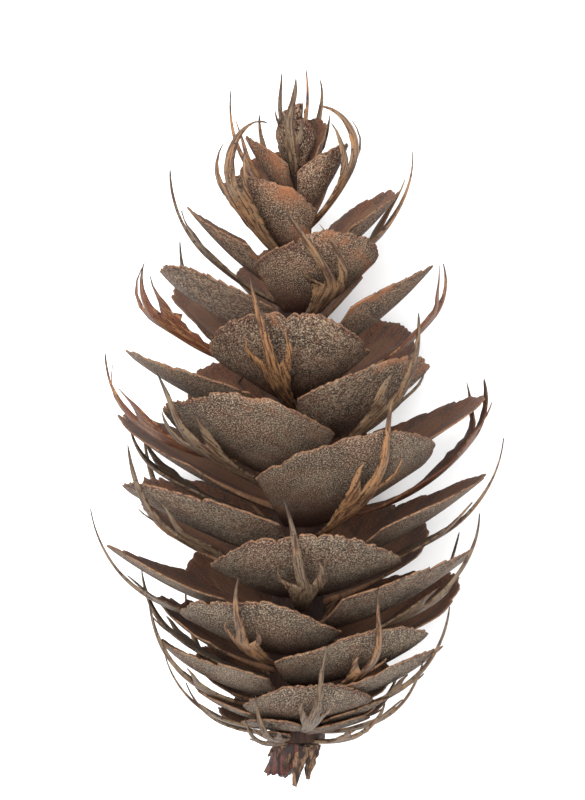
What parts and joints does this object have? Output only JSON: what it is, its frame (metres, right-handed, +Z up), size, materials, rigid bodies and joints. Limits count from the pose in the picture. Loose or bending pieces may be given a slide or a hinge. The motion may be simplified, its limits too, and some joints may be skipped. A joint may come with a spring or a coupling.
{
  "type": "douglas fir cone",
  "caption": "Opened, dry conifer seed cone lying on its side: woody scales in a spiral, each with a three-pointed bract, and the broken stub of the stalk.",
  "frame": {"origin": "on the surface that the cone lies on, under the centre of its bounding box", "axes": "+Y along the cone's axis from the stalk to the tip, +Z up, +X to the right seen from above with the tip away"},
  "size_m": [0.049, 0.086, 0.0462],
  "materials": {
    "scale_wood": "dry grey-brown wood, matt, with a fine speckle and redder edges",
    "stalk_bark": "broken dark red-brown wood with shreds of grey bark"
  },
  "bodies": {
    "root": {"cone": "scale_wood", "stalk": "stalk_bark"}
  },
  "joints": []
}
